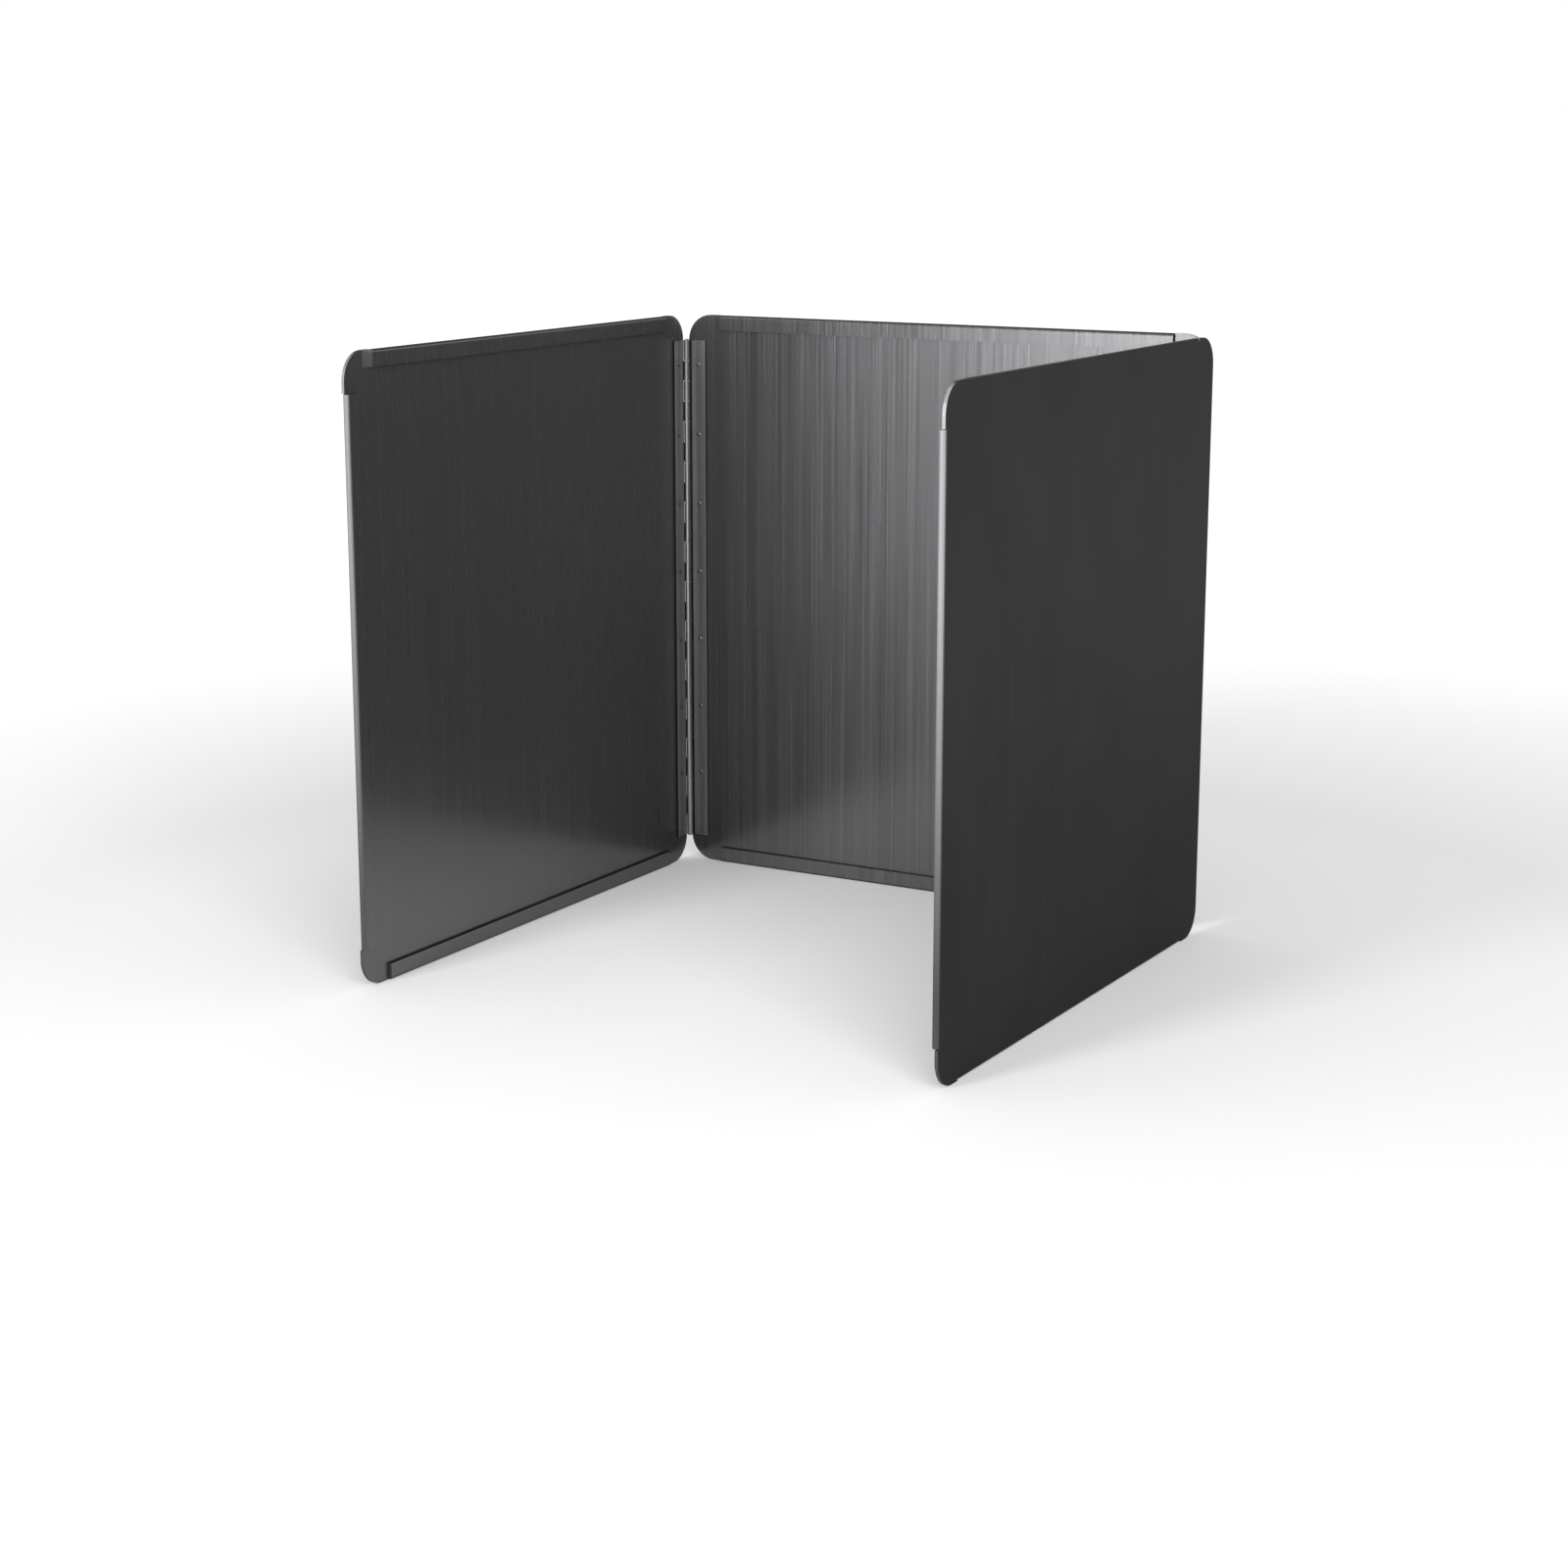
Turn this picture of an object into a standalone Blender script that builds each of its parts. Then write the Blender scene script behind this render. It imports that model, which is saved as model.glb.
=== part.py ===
# Folding splash guard: three sheet metal panels joined by two full height pin hinges.
# It stands open as a U: the back panel lies along X, the side panels run forward along -Y.
# Lengths are in metres, +Z is up, and the origin is the centre of the footprint.

import math

import bmesh
import bpy
from mathutils import Matrix, Vector

MM = 0.001

# Overall size, standing open with square corners
PANEL_HEIGHT = 350 * MM
OUTER_WIDTH = 357 * MM
OUTER_DEPTH = 345 * MM

# Sheet and its folded edges
SHEET = 1.8 * MM
CORNER_RADIUS = 16 * MM
CORNER_STEPS = 8
HEM_SLOT = 0.3 * MM
HEM_WIDTH = 9.4 * MM
HEM_SETBACK = 22 * MM
HEM_RELIEF = 0.5 * MM
BEND_FACETS = 7

# Hinges: a rolled barrel on a pin, leaves on the inner faces of the panels
HINGE_LENGTH = 318 * MM
KNUCKLES = 25
KNUCKLE_GAP = 0.3 * MM
BARREL_RADIUS = 2.0 * MM
LEAF = 0.9 * MM
LEAF_WIDTH = 12.7 * MM
LEAF_NOTCH = 2.5 * MM
ROLL_ANGLE = math.radians(285)
ROLL_STEPS = 12
PIN_RADIUS = 0.8 * MM
PIN_HEAD_RADIUS = 1.3 * MM
PIN_HEAD = 0.5 * MM
SEAT_GAP = 0.3 * MM
SHEET_EDGE_GAP = 0.3 * MM
ANGLE_BEND_RADIUS = 1.0 * MM
ANGLE_BEND_STEPS = 4

# Rivets through the leaves into blind holes in the sheets
RIVETS = 7
RIVET_PITCH = 43.5 * MM
FIRST_RIVET = 15 * MM
RIVET_LINE = 7.9 * MM
HEAD_RADIUS = 1.5 * MM
HEAD_HEIGHT = 0.6 * MM
HEAD_GAP = 0.2 * MM
SHANK_RADIUS = 0.8 * MM
SHANK_DEPTH = 0.9 * MM
HOLE_RADIUS = 1.1 * MM
BLIND_HOLE_DEPTH = 1.2 * MM
DOME_STEPS = 4
ROUND_SIDES = 12

# Folded flat, the left panel lies on the back panel and the right panel on the left one
STACK_CLEARANCE = 0.4 * MM

# Finish
SHARP_ANGLE = math.radians(35)
WELD_DISTANCE = 0.01 * MM

# Worked out from the dimensions above
HEM_THICKNESS = 2 * SHEET + HEM_SLOT
BEND_RADIUS = (HEM_THICKNESS - SHEET) / 2
BEND_STEP = math.pi / (BEND_FACETS + 1)
FOLD_INSET = HEM_THICKNESS / 2 - BEND_RADIUS * math.tan(BEND_STEP / 2)
ROLL_RADIUS = BARREL_RADIUS - LEAF / 2
SEAT_HEIGHT = BARREL_RADIUS + SEAT_GAP
RIGHT_SEAT_HEIGHT = SEAT_HEIGHT + HEM_THICKNESS + STACK_CLEARANCE
BACK_OUTER_Y = OUTER_DEPTH / 2
BACK_INNER_Y = BACK_OUTER_Y - SHEET
AXIS_X = OUTER_WIDTH / 2 - SHEET - SEAT_HEIGHT
LEFT_AXIS_Y = BACK_INNER_Y - SEAT_HEIGHT
RIGHT_AXIS_Y = BACK_INNER_Y - RIGHT_SEAT_HEIGHT
FRONT_Y = -OUTER_DEPTH / 2
HINGE_BOTTOM = (PANEL_HEIGHT - HINGE_LENGTH) / 2
HINGE_TOP = HINGE_BOTTOM + HINGE_LENGTH


def clear_scene():
    for obj in list(bpy.data.objects):
        bpy.data.objects.remove(obj, do_unlink=True)


def collection(name):
    made = bpy.data.collections.new(name)
    bpy.context.scene.collection.children.link(made)
    return made


def metal(name, color, roughness):
    material = bpy.data.materials.new(name)
    material.use_nodes = True
    shader = material.node_tree.nodes["Principled BSDF"]
    shader.inputs["Base Color"].default_value = (*color, 1)
    shader.inputs["Roughness"].default_value = roughness
    shader.inputs["Metallic"].default_value = 1.0
    material.diffuse_color = (*color, 1)
    return material


def mesh_object(name, shape, material, home):
    """Makes an object of a bmesh, with its faces turned one way and its round faces smooth."""
    bmesh.ops.recalc_face_normals(shape, faces=shape.faces)
    mesh = bpy.data.meshes.new(name)
    shape.to_mesh(mesh)
    shape.free()
    mesh.materials.append(material)
    mesh.shade_smooth()
    mesh.set_sharp_from_angle(angle=SHARP_ANGLE)
    obj = bpy.data.objects.new(name, mesh)
    home.objects.link(obj)
    return obj


def thicken(obj, thickness):
    """Gives an open middle surface its sheet thickness, half to each side."""
    modifier = obj.modifiers.new("sheet thickness", "SOLIDIFY")
    modifier.thickness = thickness
    modifier.offset = 0
    modifier.solidify_mode = "NON_MANIFOLD"
    modifier.nonmanifold_thickness_mode = "CONSTRAINTS"


def cut(obj, cutter):
    modifier = obj.modifiers.new("cut " + cutter.name, "BOOLEAN")
    modifier.operation = "DIFFERENCE"
    modifier.solver = "EXACT"
    modifier.object = cutter


def rounded_outline(width, folded_sides):
    """Outline of a panel's flat part, counter-clockwise from the foot at the hinge edge.

    The sides are foot, far edge, head and near edge. A folded side stops short of the
    edge between two corner tabs. Returns the points and, for each folded side, the
    places of its fold's two ends in that list and its inward direction.
    """
    corners = [
        (width, 0),
        (width, PANEL_HEIGHT),
        (0, PANEL_HEIGHT),
        (0, 0),
    ]
    points = []
    folds = []
    for side, folded in enumerate(folded_sides):
        angle = side * math.pi / 2
        along = Vector((math.cos(angle), math.sin(angle)))
        inward = Vector((-math.sin(angle), math.cos(angle)))
        start = Vector(corners[side - 1])
        end = Vector(corners[side])
        if folded:
            tab = along * HEM_SETBACK
            relief = along * HEM_RELIEF
            notch = inward * FOLD_INSET
            points.append(start + tab)
            points.append(start + tab + notch)
            folds.append((len(points), len(points) + 1, inward))
            points.append(start + tab + relief + notch)
            points.append(end - tab - relief + notch)
            points.append(end - tab + notch)
            points.append(end - tab)
        centre = end - along * CORNER_RADIUS + inward * CORNER_RADIUS
        for step in range(CORNER_STEPS + 1):
            sweep = angle - math.pi / 2 * (1 - step / CORNER_STEPS)
            points.append(centre + CORNER_RADIUS * Vector((math.cos(sweep), math.sin(sweep))))
    return points, folds


def hem_section():
    """Middle line of a fold as (distance in from the edge, height over the sheet)."""
    corner = BEND_RADIUS / math.cos(BEND_STEP / 2)
    line = []
    for index in range(1, BEND_FACETS + 1):
        angle = (index + 0.5) * BEND_STEP
        distance = HEM_THICKNESS / 2 - corner * math.sin(angle)
        height = BEND_RADIUS - corner * math.cos(angle)
        line.append((distance, height))
    line.append((HEM_WIDTH, 2 * BEND_RADIUS))
    return line


def panel(name, width, folded_sides, lift, material, home):
    """A sheet with rounded corners and folded edges, in its own plane, y up.

    The edges fold to the side that lift points to, +1 or -1 along z.
    """
    surface = bmesh.new()
    points, folds = rounded_outline(width, folded_sides)
    outline = [surface.verts.new((x, y, 0)) for x, y in points]
    surface.faces.new(outline)
    for first, last, inward in folds:
        row = (outline[first], outline[last])
        for distance, height in hem_section():
            shift = (inward * (distance - FOLD_INSET)).to_3d()
            shift.z = lift * height
            new_row = (
                surface.verts.new(outline[first].co + shift),
                surface.verts.new(outline[last].co + shift),
            )
            surface.faces.new((row[0], row[1], new_row[1], new_row[0]))
            row = new_row
    obj = mesh_object(name, surface, material, home)
    thicken(obj, SHEET)
    return obj


def arc(centre, radius, start, sweep, steps):
    """Points after the first one of an arc in the section of a leaf."""
    points = []
    for step in range(1, steps + 1):
        angle = start + sweep * step / steps
        points.append((centre[0] + radius * math.cos(angle), centre[1] + radius * math.sin(angle)))
    return points


def flat_leaf_section():
    """Middle line of a flat leaf: the plate up to its notches, then what a knuckle adds."""
    plate = [(LEAF_WIDTH, ROLL_RADIUS), (LEAF_NOTCH, ROLL_RADIUS)]
    knuckle = [(0, ROLL_RADIUS)]
    knuckle += arc((0, 0), ROLL_RADIUS, math.pi / 2, ROLL_ANGLE, ROLL_STEPS)
    return plate, knuckle


def angle_leaf_section():
    """Middle line of an angle leaf: a flange on the sheet and a web that stands off to the barrel."""
    flange_height = RIGHT_SEAT_HEIGHT - SEAT_GAP - LEAF / 2
    bend = (ROLL_RADIUS + ANGLE_BEND_RADIUS, flange_height - ANGLE_BEND_RADIUS)
    plate = [(LEAF_WIDTH, flange_height), (bend[0], flange_height)]
    plate += arc(bend, ANGLE_BEND_RADIUS, math.pi / 2, math.pi / 2, ANGLE_BEND_STEPS)
    plate.append((ROLL_RADIUS, LEAF_NOTCH))
    knuckle = [(ROLL_RADIUS, 0)]
    knuckle += arc((0, 0), ROLL_RADIUS, 0, -ROLL_ANGLE, ROLL_STEPS)
    return plate, knuckle


def knuckle_rows(first_row):
    """Lower and upper end of every second knuckle, with half a gap kept at each joint."""
    pitch = HINGE_LENGTH / KNUCKLES
    rows = []
    for index in range(first_row, KNUCKLES, 2):
        low = index * pitch + KNUCKLE_GAP / 2 if index > 0 else 0
        high = (index + 1) * pitch - KNUCKLE_GAP / 2 if index < KNUCKLES - 1 else HINGE_LENGTH
        rows.append((low, high))
    return rows


def leaf(name, section, first_row, seat_side, material, home):
    """A hinge leaf with its rolled knuckles, the pin's axis along z, its foot at z = 0.

    It runs out along x, and the side that is seated on the sheet faces seat_side along y.
    """
    plate, knuckle = section
    rows = knuckle_rows(first_row)
    surface = bmesh.new()

    def corner(point, height):
        return surface.verts.new((point[0], seat_side * point[1], height))

    line = [corner(plate[0], 0), corner(plate[0], HINGE_LENGTH)]
    for point in plate[1:-1]:
        new_line = [corner(point, 0), corner(point, HINGE_LENGTH)]
        surface.faces.new((line[0], line[1], new_line[1], new_line[0]))
        line = new_line
    heights = sorted({0, HINGE_LENGTH}.union(*rows))
    toothed = {height: corner(plate[-1], height) for height in heights}
    surface.faces.new([line[1]] + [toothed[height] for height in reversed(heights)] + [line[0]])
    for low, high in rows:
        row = (toothed[low], toothed[high])
        for point in knuckle:
            new_row = (corner(point, low), corner(point, high))
            surface.faces.new((row[0], row[1], new_row[1], new_row[0]))
            row = new_row
    obj = mesh_object(name, surface, material, home)
    thicken(obj, LEAF)
    return obj


def turned(name, profile, material, home):
    """A piece turned about z from a profile that runs down its outer side."""
    line = bmesh.new()
    corners = [line.verts.new((radius, 0, height)) for radius, height in profile]
    for upper, lower in zip(corners, corners[1:]):
        line.edges.new((upper, lower))
    obj = mesh_object(name, line, material, home)
    modifier = obj.modifiers.new("turned about z", "SCREW")
    modifier.steps = ROUND_SIDES
    modifier.render_steps = ROUND_SIDES
    modifier.use_merge_vertices = True
    modifier.merge_threshold = WELD_DISTANCE
    modifier.use_smooth_shade = True
    return obj


def pin(name, material, home):
    """A pin with a staked head past each end of the barrel, its foot level with the leaves."""
    reach = SEAT_GAP + PIN_HEAD
    bottom = -reach
    top = HINGE_LENGTH + reach
    profile = [
        (0, top),
        (PIN_HEAD_RADIUS, top),
        (PIN_HEAD_RADIUS, top - PIN_HEAD),
        (PIN_RADIUS, top - PIN_HEAD),
        (PIN_RADIUS, bottom + PIN_HEAD),
        (PIN_HEAD_RADIUS, bottom + PIN_HEAD),
        (PIN_HEAD_RADIUS, bottom),
        (0, bottom),
    ]
    return turned(name, profile, material, home)


def rivet(name, material, home):
    """A domed rivet, z out of the leaf, with z = 0 on the face of the leaf."""
    dome = (HEAD_RADIUS**2 + HEAD_HEIGHT**2) / (2 * HEAD_HEIGHT)
    dome_centre = HEAD_GAP + HEAD_HEIGHT - dome
    edge_angle = math.asin(HEAD_RADIUS / dome)
    profile = []
    for step in range(DOME_STEPS + 1):
        angle = edge_angle * step / DOME_STEPS
        profile.append((dome * math.sin(angle), dome_centre + dome * math.cos(angle)))
    foot = -LEAF - SEAT_GAP - SHANK_DEPTH
    profile.append((SHANK_RADIUS, HEAD_GAP))
    profile.append((SHANK_RADIUS, foot))
    profile.append((0, foot))
    return turned(name, profile, material, home)


def rivet_holes(name, home):
    """Cutter for a row of rivet holes: through the leaf and blind into the sheet.

    The row runs along the hinge, which is y in the cutter's own frame.
    """
    top = HEAD_GAP + HEAD_HEIGHT
    depth = top + LEAF + SEAT_GAP + BLIND_HOLE_DEPTH
    shape = bmesh.new()
    bmesh.ops.create_cone(
        shape,
        cap_ends=True,
        segments=ROUND_SIDES,
        radius1=HOLE_RADIUS,
        radius2=HOLE_RADIUS,
        depth=depth,
        matrix=Matrix.Translation((0, 0, top - depth / 2)),
    )
    mesh = bpy.data.meshes.new(name)
    shape.to_mesh(mesh)
    shape.free()
    obj = bpy.data.objects.new(name, mesh)
    obj.hide_render = True
    obj.display_type = "WIRE"
    home.objects.link(obj)
    modifier = obj.modifiers.new("along the hinge", "ARRAY")
    modifier.count = RIVETS
    modifier.use_relative_offset = False
    modifier.use_constant_offset = True
    modifier.constant_offset_displace = (0, RIVET_PITCH, 0)
    return obj


def place(obj, location, turn, axis=None):
    """Stands an object at a place given from its axis, turned by degrees about x, y and z."""
    obj.location = location
    obj.rotation_euler = [math.radians(angle) for angle in turn]
    obj.parent = axis


def hinge_axis(name, x, y, home):
    empty = bpy.data.objects.new(name, None)
    empty.empty_display_type = "SINGLE_ARROW"
    empty.empty_display_size = PANEL_HEIGHT
    empty.location = (x, y, 0)
    home.objects.link(empty)
    return empty


def fasten(name, sheet, plate, lowest, turn, axis, material, home, cutters):
    """Rivets a leaf to a sheet: lowest is the place of the lowest rivet on the leaf's face."""
    holes = rivet_holes(name + "_holes", cutters)
    place(holes, lowest, turn, axis)
    cut(sheet, holes)
    cut(plate, holes)
    model = rivet(name + "_1", material, home)
    place(model, lowest, turn, axis)
    for index in range(1, RIVETS):
        copy = model.copy()
        copy.name = f"{name}_{index + 1}"
        copy.location.z += index * RIVET_PITCH
        home.objects.link(copy)


def back_panel(home, material):
    width = 2 * (AXIS_X - SHEET_EDGE_GAP)
    obj = panel("back_panel", width, (True, False, True, False), 1, material, home)
    place(obj, (-width / 2, BACK_OUTER_Y - SHEET / 2, 0), (90, 0, 0))
    return obj


def side_panel(name, side, axis, home, material):
    """A side panel on its axis. side is -1 for the left panel and +1 for the right one."""
    width = axis.location.y - SHEET_EDGE_GAP - FRONT_Y
    obj = panel(name, width, (True, True, True, False), side, material, home)
    place(obj, (side * (SEAT_HEIGHT + SHEET / 2), -SHEET_EDGE_GAP, 0), (90, 0, -90), axis)
    return obj


def hinge(side_name, side, back, panel_on_it, axis, home, cutters, steel):
    """The two leaves, the pin and the rivets of one hinge, set on its axis."""
    centre = (axis.location.x, axis.location.y, HINGE_BOTTOM)
    lowest_rivet = HINGE_TOP - FIRST_RIVET - (RIVETS - 1) * RIVET_PITCH
    face = BARREL_RADIUS - LEAF
    if side < 0:
        section = flat_leaf_section()
        back_face = face
    else:
        section = angle_leaf_section()
        back_face = RIGHT_SEAT_HEIGHT - SEAT_GAP - LEAF
    back_leaf = leaf(side_name + "_hinge_back_leaf", section, 0, -side, steel, home)
    place(back_leaf, centre, (0, 0, 0 if side < 0 else 180))
    side_leaf = leaf(side_name + "_hinge_side_leaf", flat_leaf_section(), 1, side, steel, home)
    place(side_leaf, (0, 0, HINGE_BOTTOM), (0, 0, -90), axis)
    hinge_pin = pin(side_name + "_hinge_pin", steel, home)
    place(hinge_pin, centre, (0, 0, 0))
    back_line = (centre[0] - side * RIVET_LINE, centre[1] + back_face, lowest_rivet)
    fasten(
        side_name + "_back_rivet",
        back,
        back_leaf,
        back_line,
        (90, 0, 0),
        None,
        steel,
        home,
        cutters,
    )
    fasten(
        side_name + "_side_rivet",
        panel_on_it,
        side_leaf,
        (side * face, -RIVET_LINE, lowest_rivet),
        (90, 0, -90 * side),
        axis,
        steel,
        home,
        cutters,
    )


def build():
    clear_scene()
    home = collection("folding_splash_guard")
    cutters = collection("cutters")
    panel_metal = metal("dark brushed aluminium", (0.045, 0.047, 0.05), 0.3)
    hinge_metal = metal("dark hinge steel", (0.12, 0.125, 0.13), 0.35)
    back = back_panel(home, panel_metal)
    for side_name, side, axis_y in (("left", -1, LEFT_AXIS_Y), ("right", 1, RIGHT_AXIS_Y)):
        axis = hinge_axis(side_name + "_hinge_axis", side * AXIS_X, axis_y, home)
        swung = side_panel(side_name + "_panel", side, axis, home, panel_metal)
        hinge(side_name, side, back, swung, axis, home, cutters, hinge_metal)
    bpy.context.view_layer.update()


build()
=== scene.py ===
# Looks of the folding splash guard: brushed and satin metal, a pale floor and soft studio light.
import math

import bmesh
import bpy
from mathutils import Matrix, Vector

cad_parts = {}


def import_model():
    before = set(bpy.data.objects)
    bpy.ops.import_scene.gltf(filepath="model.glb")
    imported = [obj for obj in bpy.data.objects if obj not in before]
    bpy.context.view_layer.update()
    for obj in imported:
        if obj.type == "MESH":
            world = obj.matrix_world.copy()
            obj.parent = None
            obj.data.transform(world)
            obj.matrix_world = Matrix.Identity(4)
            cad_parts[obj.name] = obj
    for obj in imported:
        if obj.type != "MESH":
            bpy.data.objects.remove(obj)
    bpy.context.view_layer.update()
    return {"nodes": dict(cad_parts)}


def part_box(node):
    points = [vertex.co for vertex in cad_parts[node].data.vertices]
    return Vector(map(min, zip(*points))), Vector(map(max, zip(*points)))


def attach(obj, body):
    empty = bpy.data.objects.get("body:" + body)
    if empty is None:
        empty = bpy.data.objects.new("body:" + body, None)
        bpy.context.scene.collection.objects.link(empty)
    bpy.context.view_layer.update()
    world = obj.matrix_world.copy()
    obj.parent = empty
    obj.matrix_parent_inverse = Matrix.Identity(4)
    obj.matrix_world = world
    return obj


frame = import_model()

MM = 0.001

# Panels, as the solids have them
SHEET = 1.8 * MM
CORNER_RADIUS = 16 * MM
HEM_START = 22 * MM
HEM_WIDTH = 9.4 * MM
SMOOTH_ANGLE = math.radians(35)

# Pressed ends of the upper hems. The lowest point is a share of the rise.
HEM_END_RISE = 2.1 * MM
HEM_END_LOWEST = 0.06
HEM_END_SETBACK = 0.2 * MM
RAMP_STEPS = 6
ARC_STEPS = 5

# Noise of each finish: how many marks to a metre along x, y and z
FINE_MARKS = (1500, 1500, 7)
COARSE_MARKS = (560, 560, 3)
BROAD_MARKS = (190, 190, 1.5)
CLOUDS = (16, 16, 12)
STRIP_MARKS = (1400, 1400, 18)
SCUFFS = (900, 900, 120)
WIRE_MARKS = (2500, 2500, 60)
RIVET_SPECKLE = (1500, 1500, 1500)
FLOOR_PATCHES = (3, 3, 3)

# Brushing of the panels. The ranges are the middle parts of the noise that are spread out.
FINE_SHARE = 0.4
COARSE_SHARE = 0.45
BROAD_SHARE = 0.15
GRAIN_RANGE = (0.38, 0.62)
CLOUD_RANGE = (0.3, 0.7)
BACK_CONTRAST = 0.18
SIDE_CONTRAST = 0.045
BACK_RIDGES = 0.018 * MM
SIDE_RIDGES = 0.002 * MM
OUTSIDE_RIDGES = 0.004 * MM

# Greys of the panels, from 0, black, to 1, white
INSIDE_GREY = 0.145
OUTSIDE_GREYS = (0.026, 0.039)
# Painted highlight on the faces turned to the front: from the foot grey up to each side's grey over these
# heights
HIGHLIGHT_FOOT_GREY = 0.08
LEFT_HIGHLIGHT_GREY = 0.25
RIGHT_HIGHLIGHT_GREY = 0.34
HIGHLIGHT_HEIGHTS = (0.05, 0.25)

# How squarely a face looks to one side, from where it starts to count to where it counts in full
INSIDE_FACE = (0.8, 0.95)
FRONT_FACE = (0.25, 0.6)
BROAD_FACE = (0.5, 0.8)

# Hinges: distances from the axis of the pin, then from the rivet line, then in from the leaf's edge
BARREL_EDGE = (2.0 * MM, 2.1 * MM)
GROOVE_EDGE = (3.0 * MM, 3.3 * MM)
RIVET_LINE = 7.9 * MM
# The band along the rivet line and the rim carry a painted reflection: darker along the line, lighter at the
# rim
DARK_BAND_STRIP = (0.8 * MM, 2.2 * MM)
SHEEN_RIM_START = 1.6 * MM
SHEEN_RIM_FULL = 0.8 * MM
RUB_DEPTH = 0.01 * MM

# Floor and background: the floor's own glow grows over these distances from the object
FLOOR_RADIUS = 400
FLOOR_SIDES = 96
GLOW_DISTANCES = (0.5, 1.5)
NEAR_GLOW = 0.15
FAR_GLOW = 0.7
WORLD_LIGHT = 0.4

# Viewing angle of the photograph, fitted to the panels' edges
CAMERA_AZIMUTH = math.radians(29.81)
CAMERA_ELEVATION = math.radians(12.92)
CAMERA_DISTANCE = 1.647
CAMERA_AIM = Vector((0.002, -0.017, 0.106))
CAMERA_LENS_MM = 67.46
SENSOR_MM = 36


def grey(level, blue=1.0):
    """A grey of an even level, or slightly blue."""
    return (level, level, level * blue, 1)


class Shading:
    """A node material whose nodes are added by short calls."""

    def __init__(self, name):
        self.material = bpy.data.materials.new(name)
        self.material.use_nodes = True
        self.tree = self.material.node_tree
        self.shader = self.tree.nodes["Principled BSDF"]

    def node(self, kind, **settings):
        made = self.tree.nodes.new(kind)
        for key, value in settings.items():
            setattr(made, key, value)
        return made

    def link(self, source, target):
        self.tree.links.new(source, target)

    def join(self, value, socket):
        """Set a socket to a number, or link another node's output to it."""
        if isinstance(value, (int, float)):
            socket.default_value = value
        else:
            self.link(value, socket)

    def compute(self, operation, *values):
        made = self.node("ShaderNodeMath", operation=operation)
        for socket, value in zip(made.inputs, values):
            self.join(value, socket)
        return made.outputs[0]

    def total(self, *parts):
        """Sum of values, each given with its weight."""
        result = 0.0
        for value, weight in parts:
            result = self.compute("MULTIPLY_ADD", value, weight, result)
        return result

    def coordinates(self, kind):
        return self.node("ShaderNodeTexCoord").outputs[kind]

    def noise(self, marks_to_a_metre, detail=3.0):
        """Noise drawn out differently along the piece's own x, y and z."""
        mapping = self.node("ShaderNodeMapping")
        mapping.inputs["Scale"].default_value = marks_to_a_metre
        self.link(self.coordinates("Object"), mapping.inputs["Vector"])
        made = self.node("ShaderNodeTexNoise")
        made.inputs["Scale"].default_value = 1.0
        made.inputs["Detail"].default_value = detail
        made.inputs["Roughness"].default_value = 0.55
        self.link(mapping.outputs["Vector"], made.inputs["Vector"])
        return made.outputs["Fac"]

    def spread(self, value, low, high, over=(0.0, 1.0)):
        """Spread the range over of a value to low and high, and stop at both."""
        made = self.node("ShaderNodeMapRange")
        made.inputs["From Min"].default_value = over[0]
        made.inputs["From Max"].default_value = over[1]
        made.inputs["To Min"].default_value = low
        made.inputs["To Max"].default_value = high
        self.link(value, made.inputs["Value"])
        return made.outputs["Result"]

    def tint(self, value, dark, light):
        ramp = self.node("ShaderNodeValToRGB")
        ramp.color_ramp.elements[0].color = dark
        ramp.color_ramp.elements[1].color = light
        self.link(value, ramp.inputs["Fac"])
        return ramp.outputs["Color"]

    def mix(self, share, first, second):
        """Blend of two colours."""
        made = self.node("ShaderNodeMix", data_type="RGBA")
        self.link(share, made.inputs["Factor"])
        self.link(first, made.inputs[6])
        self.link(second, made.inputs[7])
        return made.outputs[2]

    def blend(self, share, first, second):
        """Blend of two values, each a number or another node's output."""
        made = self.node("ShaderNodeMix", data_type="FLOAT")
        self.link(share, made.inputs["Factor"])
        self.join(first, made.inputs[2])
        self.join(second, made.inputs[3])
        return made.outputs[0]

    def distance_from_upright(self, foot):
        """Distance of a point from the upright line through foot."""
        flat = self.node("ShaderNodeVectorMath", operation="MULTIPLY")
        flat.inputs[1].default_value = (1, 1, 0)
        self.link(self.coordinates("Object"), flat.inputs[0])
        apart = self.node("ShaderNodeVectorMath", operation="DISTANCE")
        self.link(flat.outputs["Vector"], apart.inputs[0])
        apart.inputs[1].default_value = foot
        return apart.outputs["Value"]

    def height(self):
        """Height of a point above the floor."""
        parts = self.node("ShaderNodeSeparateXYZ")
        self.link(self.coordinates("Object"), parts.inputs[0])
        return parts.outputs["Z"]

    def turned_to(self, direction):
        """How far the piece's own surface is turned to a direction: 1 is straight at it, -1 is away."""
        product = self.node("ShaderNodeVectorMath", operation="DOT_PRODUCT")
        self.link(self.coordinates("Normal"), product.inputs[0])
        product.inputs[1].default_value = direction
        return product.outputs["Value"]

    def bump(self, height, distance):
        made = self.node("ShaderNodeBump")
        made.inputs["Strength"].default_value = 1.0
        self.join(distance, made.inputs["Distance"])
        self.link(height, made.inputs["Height"])
        self.link(made.outputs["Normal"], self.shader.inputs["Normal"])

    def finish(self, color, roughness, metallic):
        self.link(color, self.shader.inputs["Base Color"])
        self.link(roughness, self.shader.inputs["Roughness"])
        self.shader.inputs["Metallic"].default_value = metallic
        return self.material


def brushing(shading):
    """Brush marks of three widths, drawn out along the panel's height."""
    fine = shading.noise(FINE_MARKS, detail=1.0)
    coarse = shading.noise(COARSE_MARKS, detail=2.0)
    broad = shading.noise(BROAD_MARKS)
    marks = shading.total((fine, FINE_SHARE), (coarse, COARSE_SHARE), (broad, BROAD_SHARE))
    return shading.spread(marks, 0, 1, over=GRAIN_RANGE)


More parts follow.
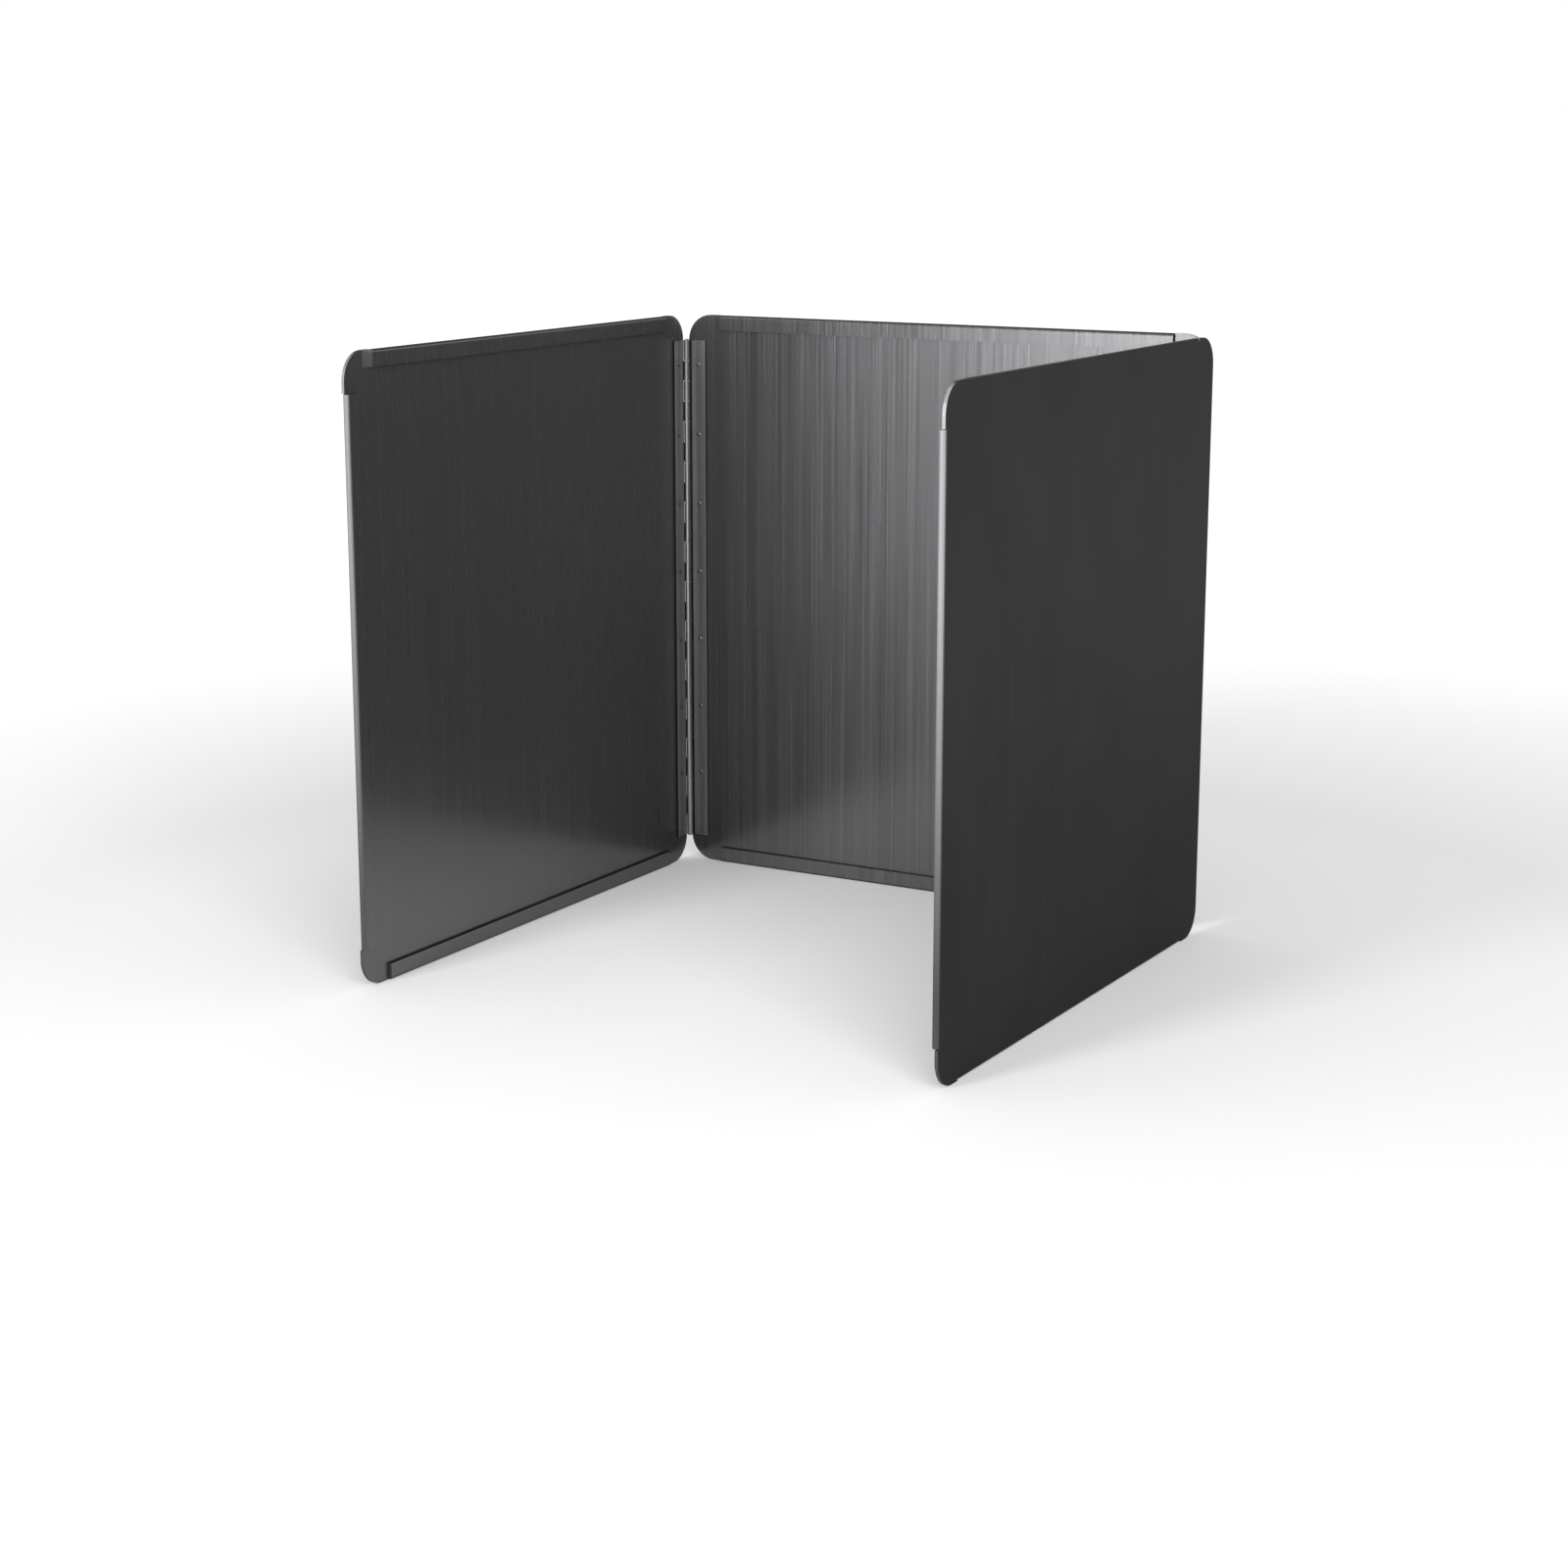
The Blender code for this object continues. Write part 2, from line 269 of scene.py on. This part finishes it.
def brush_highlights(shading):
    """Highlights drawn out across the brush marks."""
    shading.shader.inputs["Anisotropic"].default_value = 0.6
    around = shading.node("ShaderNodeTangent", direction_type="RADIAL", axis="Z")
    shading.link(around.outputs[0], shading.shader.inputs["Tangent"])


def panel_sheet(name, inward, contrast, ridges, front_highlight_grey=None):
    """Dark panel sheet, brushed inside and satin outside. Faces turned to the front get a painted highlight,
    lighter toward the top.
    """
    shading = Shading(name)
    grain = brushing(shading)
    clouds = shading.spread(shading.noise(CLOUDS), 0, 1, over=CLOUD_RANGE)
    inside = shading.spread(shading.turned_to(inward), 0, 1, over=INSIDE_FACE)

    brushed = shading.tint(
        shading.total((grain, 0.85), (clouds, 0.15)),
        grey(INSIDE_GREY * (1 - contrast), blue=1.03),
        grey(INSIDE_GREY * (1 + contrast), blue=1.03),
    )
    haze = shading.total((clouds, 0.55), (grain, 0.45))
    satin = shading.tint(haze, grey(OUTSIDE_GREYS[0]), grey(OUTSIDE_GREYS[1]))
    color = shading.mix(inside, satin, brushed)
    brushed_rough = shading.spread(grain, 0.2, 0.28)
    satin_rough = shading.spread(haze, 0.3, 0.43)
    rough = shading.blend(inside, satin_rough, brushed_rough)

    # Painted highlight: faces turned to the front get a lighter colour, lighter toward the top
    if front_highlight_grey:
        front = shading.spread(shading.turned_to((0, -1, 0)), 0, 1, over=FRONT_FACE)
        highlight_rise = shading.spread(shading.height(), 0, 1, over=HIGHLIGHT_HEIGHTS)
        painted_highlight = shading.tint(
            shading.total((highlight_rise, 0.88), (grain, 0.12)),
            grey(HIGHLIGHT_FOOT_GREY, blue=1.02),
            grey(front_highlight_grey, blue=1.02),
        )
        color = shading.mix(front, color, painted_highlight)
        rough = shading.blend(front, rough, shading.spread(grain, 0.48, 0.56))

    marks = shading.noise(COARSE_MARKS, detail=1.0)
    shading.bump(marks, shading.blend(inside, OUTSIDE_RIDGES, ridges))
    shading.shader.inputs["Specular IOR Level"].default_value = 0.25
    shading.shader.inputs["Specular Tint"].default_value = grey(0.4)
    brush_highlights(shading)
    return shading.finish(color, rough, metallic=0.75)


def hinge_strip(leaf, pin, broad_side):
    """Satin hinge leaf with painted shade in the groove by the barrel and on the leaf's edges, painted
    reflection bands across the leaf, and knuckles smooth round the pin.
    """
    shading = Shading(f"{leaf}_strip")
    pin_low, pin_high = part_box(pin)
    axis = ((pin_low[0] + pin_high[0]) / 2, (pin_low[1] + pin_high[1]) / 2, 0)
    leaf_low, leaf_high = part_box(leaf)
    width = max(abs(corner[i] - axis[i]) for corner in (leaf_low, leaf_high) for i in (0, 1))

    reach = shading.distance_from_upright(axis)
    off_line = shading.compute("ABSOLUTE", shading.compute("SUBTRACT", reach, RIVET_LINE))
    flatness = shading.compute("ABSOLUTE", shading.turned_to(broad_side))
    leaf_share = shading.spread(reach, 0, 1, over=BARREL_EDGE)
    near_barrel = shading.spread(reach, 1, 0, over=GROOVE_EDGE)
    # Painted shade: the leaf goes near black in the groove by the barrel and on its edge faces
    seam = shading.compute("MAXIMUM", near_barrel, shading.spread(flatness, 1, 0, over=BROAD_FACE))

    drawn = shading.noise(STRIP_MARKS)
    streaks = shading.spread(drawn, 0.2, 0.7, over=CLOUD_RANGE)
    # Painted reflection: the leaf is lighter toward its rim and darker along the rivet line, on top of its
    # drawn streaks
    rim_sheen = shading.spread(reach, 0, 0.3, over=(width - SHEEN_RIM_START, width - SHEEN_RIM_FULL))
    dark_band = shading.spread(off_line, 0.3, 0, over=DARK_BAND_STRIP)
    streaks_and_sheen = shading.compute("SUBTRACT", shading.compute("ADD", streaks, rim_sheen), dark_band)
    satin = shading.tint(streaks_and_sheen, grey(0.2, blue=1.01), grey(0.4, blue=1.01))
    seam_shade = shading.tint(drawn, grey(0.02), grey(0.04))
    knuckle = shading.tint(drawn, grey(0.26), grey(0.36))
    color = shading.mix(leaf_share, knuckle, shading.mix(seam, satin, seam_shade))

    knuckle_rough = shading.spread(drawn, 0.2, 0.3)
    leaf_rough = shading.spread(drawn, 0.34, 0.46)
    shading.bump(drawn, RUB_DEPTH)
    return shading.finish(color, shading.blend(leaf_share, knuckle_rough, leaf_rough), metallic=0.9)


def rubbed_metal():
    """Bare metal of the pressed hem ends, rubbed by hands."""
    shading = Shading("rubbed_metal")
    scuffs = shading.noise(SCUFFS)
    color = shading.tint(scuffs, grey(0.08, blue=1.02), grey(0.15, blue=1.02))
    shading.bump(scuffs, RUB_DEPTH)
    return shading.finish(color, shading.spread(scuffs, 0.36, 0.5), metallic=0.8)


def bright_wire():
    """Drawn steel of the hinge pins."""
    shading = Shading("bright_wire")
    drawn = shading.noise(WIRE_MARKS)
    color = shading.tint(drawn, grey(0.45), grey(0.6))
    return shading.finish(color, shading.spread(drawn, 0.2, 0.35), metallic=1.0)


def dark_rivet():
    """Rivet heads, blackened and a little rubbed."""
    shading = Shading("dark_rivet")
    speckle = shading.noise(RIVET_SPECKLE)
    color = shading.tint(speckle, grey(0.1, blue=1.02), grey(0.2, blue=1.02))
    return shading.finish(color, shading.spread(speckle, 0.35, 0.5), metallic=1.0)


def hem_section(station, rise, low, high):
    """Outline of a hem's end at one station: flat against the sheet, with a rounded upper edge."""
    points = [Vector((0, station, low)), Vector((rise, station, low))]
    for step in range(ARC_STEPS + 1):
        angle = math.pi / 2 * step / ARC_STEPS
        points.append(Vector((rise * math.cos(angle), station, high - rise + rise * math.sin(angle))))
    return points


def pressed_hem_end(side, material):
    """The front end of an upper hem, pressed down from the fold to the flat corner."""
    low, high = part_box(f"{side}_panel")
    toward_middle = 1 if side == "left" else -1
    sheet_face = low[0] + SHEET if side == "left" else high[0] - SHEET
    mesh = bmesh.new()
    rings = []
    for step in range(RAMP_STEPS + 1):
        share = step / RAMP_STEPS
        station = low[1] + CORNER_RADIUS + share * (HEM_START - CORNER_RADIUS)
        rise = HEM_END_RISE * (HEM_END_LOWEST + (1 - HEM_END_LOWEST) * share)
        ring = []
        for point in hem_section(station, rise, high[2] - HEM_WIDTH, high[2] - HEM_END_SETBACK):
            ring.append(mesh.verts.new((sheet_face + toward_middle * point.x, point.y, point.z)))
        rings.append(ring)
    for first, second in zip(rings, rings[1:]):
        for index in range(len(first)):
            after = (index + 1) % len(first)
            mesh.faces.new((first[index], first[after], second[after], second[index]))
    mesh.faces.new(rings[0])
    mesh.faces.new(rings[-1])
    bmesh.ops.recalc_face_normals(mesh, faces=mesh.faces)
    data = bpy.data.meshes.new(f"{side}_hem_end")
    mesh.to_mesh(data)
    mesh.free()
    data.materials.append(material)
    data.shade_smooth()
    data.set_sharp_from_angle(angle=SMOOTH_ANGLE)
    piece = bpy.data.objects.new(f"{side}_hem_end", data)
    bpy.context.scene.collection.objects.link(piece)
    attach(piece, f"{side}_wing")


def dress(names, material):
    """Give CAD nodes a material, and smooth shading up to their sharp edges."""
    for name in names:
        node = frame["nodes"][name]
        node.data.materials.clear()
        node.data.materials.append(material)
        node.data.shade_smooth()
        node.data.set_sharp_from_angle(angle=SMOOTH_ANGLE)


def dress_panels():
    back = panel_sheet("back_sheet", (0, -1, 0), BACK_CONTRAST, BACK_RIDGES)
    left = panel_sheet("left_sheet", (1, 0, 0), SIDE_CONTRAST, SIDE_RIDGES, LEFT_HIGHLIGHT_GREY)
    right = panel_sheet("right_sheet", (-1, 0, 0), SIDE_CONTRAST, SIDE_RIDGES, RIGHT_HIGHLIGHT_GREY)
    dress(["back_panel"], back)
    dress(["left_panel"], left)
    dress(["right_panel"], right)


def dress_hinges():
    wire = bright_wire()
    for side in ("left", "right"):
        pin = f"{side}_hinge_pin"
        back_leaf = f"{side}_hinge_back_leaf"
        side_leaf = f"{side}_hinge_side_leaf"
        dress([back_leaf], hinge_strip(back_leaf, pin, broad_side=(0, 1, 0)))
        dress([side_leaf], hinge_strip(side_leaf, pin, broad_side=(1, 0, 0)))
        dress([pin], wire)
    dress([name for name in frame["nodes"] if "_rivet_" in name], dark_rivet())


def background_rays(shading):
    """1 for rays that show the background: seen directly, mirrored or through glass."""
    path = shading.node("ShaderNodeLightPath")
    mirrored = shading.compute("MAXIMUM", path.outputs["Is Glossy Ray"], path.outputs["Is Transmission Ray"])
    return shading.compute("MAXIMUM", path.outputs["Is Camera Ray"], mirrored)


def floor():
    """A pale floor that runs out to the horizon and turns as white as the background."""
    bpy.ops.mesh.primitive_circle_add(
        vertices=FLOOR_SIDES,
        radius=FLOOR_RADIUS,
        fill_type="NGON",
        location=(0, 0, 0),
    )
    plane = bpy.context.object
    plane.name = "floor"
    shading = Shading("pale_floor")
    color = shading.tint(shading.noise(FLOOR_PATCHES), grey(0.78), grey(0.82))
    shading.link(color, shading.shader.inputs["Base Color"])
    shading.shader.inputs["Roughness"].default_value = 0.8
    shading.shader.inputs["Specular IOR Level"].default_value = 0.2
    shading.shader.inputs["Emission Color"].default_value = grey(1.0)
    away = shading.distance_from_upright((0, 0, 0))
    glow = shading.spread(away, NEAR_GLOW, FAR_GLOW, over=GLOW_DISTANCES)
    strength = shading.compute("MULTIPLY", background_rays(shading), glow)
    shading.link(strength, shading.shader.inputs["Emission Strength"])
    plane.data.materials.append(shading.material)


class Studio(Shading):
    """The world's nodes, with the same short calls."""

    def __init__(self):
        self.world = bpy.data.worlds.new("studio")
        bpy.context.scene.world = self.world
        self.world.use_nodes = True
        self.tree = self.world.node_tree
        self.shader = self.tree.nodes["Background"]


def world():
    """White where it is seen, and a plain soft light on the object."""
    studio = Studio()
    studio.shader.inputs["Color"].default_value = grey(1.0)
    strength = studio.spread(background_rays(studio), WORLD_LIGHT, 1.0)
    studio.link(strength, studio.shader.inputs["Strength"])


def lamp(name, location, aim, size, watts):
    data = bpy.data.lights.new(name, "AREA")
    data.shape = "RECTANGLE"
    data.size = size[0]
    data.size_y = size[1]
    data.energy = watts
    obj = bpy.data.objects.new(name, data)
    bpy.context.scene.collection.objects.link(obj)
    obj.location = location
    obj.rotation_euler = (Vector(aim) - Vector(location)).to_track_quat("-Z", "Y").to_euler()


def camera():
    """The photograph's view: the camera stands off its aim by azimuth, elevation and distance."""
    data = bpy.data.cameras.new("photo_camera")
    data.lens = CAMERA_LENS_MM
    data.sensor_width = SENSOR_MM
    obj = bpy.data.objects.new("photo_camera", data)
    bpy.context.scene.collection.objects.link(obj)
    away = Vector((
        math.sin(CAMERA_AZIMUTH) * math.cos(CAMERA_ELEVATION),
        -math.cos(CAMERA_AZIMUTH) * math.cos(CAMERA_ELEVATION),
        math.sin(CAMERA_ELEVATION),
    ))
    obj.location = CAMERA_AIM + away * CAMERA_DISTANCE
    obj.rotation_euler = (-away).to_track_quat("-Z", "Y").to_euler()
    bpy.context.scene.camera = obj


bpy.context.scene.view_settings.view_transform = "Standard"
camera()
world()
floor()
lamp("window", location=(-0.48, -1.94, 0.75), aim=(0, 0, 0.3), size=(0.45, 1.3), watts=25)
lamp("overhead", location=(0, 0, 2.5), aim=(0, 0, 0), size=(2.5, 2.5), watts=14)
lamp("fill", location=(1.5, -1.5, 1.3), aim=(0, 0, 0.15), size=(1.2, 1.2), watts=30)
dress_panels()
dress_hinges()
hem_metal = rubbed_metal()
pressed_hem_end("left", hem_metal)
pressed_hem_end("right", hem_metal)
